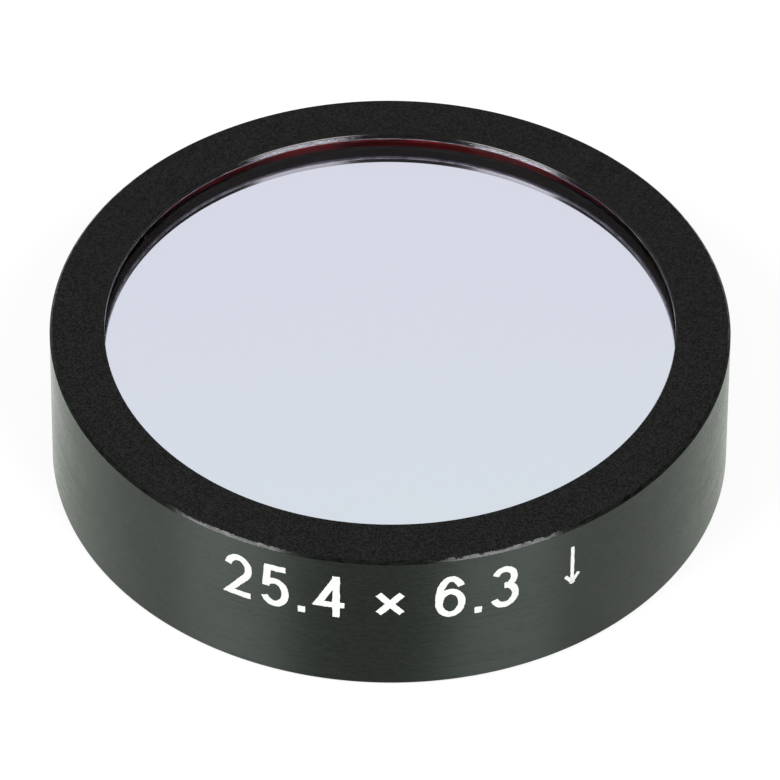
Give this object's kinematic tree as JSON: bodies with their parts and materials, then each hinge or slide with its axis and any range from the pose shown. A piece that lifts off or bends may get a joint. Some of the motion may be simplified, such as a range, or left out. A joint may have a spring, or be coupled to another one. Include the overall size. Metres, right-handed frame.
{
  "type": "optical bandpass filter",
  "caption": "Round laminated optical bandpass filter in a flat black ring, with a mirror-like front behind a thin lip and red absorption glass at the rear.",
  "frame": {"origin": "centre of the rear face of the housing ring, the face that the filter lies on with its mirror side up", "axes": "+Z along the optical axis, out of the mirror side towards the light source; light goes through the filter along -Z; +X to the right and +Y away from the viewer in the picture"},
  "size_m": [0.0254, 0.0254, 0.0063],
  "materials": {
    "black_anodised": "satin black anodised, with fine turning lines round the wall and a matt front rim",
    "black_anodised_inner": "matt black anodised",
    "clear_glass": "polished faces with ground edges",
    "substrate_glass": "polished faces with ground edges",
    "red_glass": "polished deep red glass with ground edges",
    "mirror_film": "smooth silvery violet-blue mirror",
    "bandpass_film": "smooth blue-green mirror",
    "optical_cement": "clear cured optical cement",
    "sealing_compound": "dark red cured sealing compound"
  },
  "bodies": {
    "root": {"housing_ring": "black_anodised", "retaining_ring": "black_anodised_inner", "cover_glass": "clear_glass", "substrate_glass": "substrate_glass", "absorption_glass": "red_glass", "blocking_coating": "mirror_film", "bandpass_coating": "bandpass_film", "front_cement": "optical_cement", "rear_cement": "optical_cement", "edge_seal": "sealing_compound"}
  },
  "joints": []
}
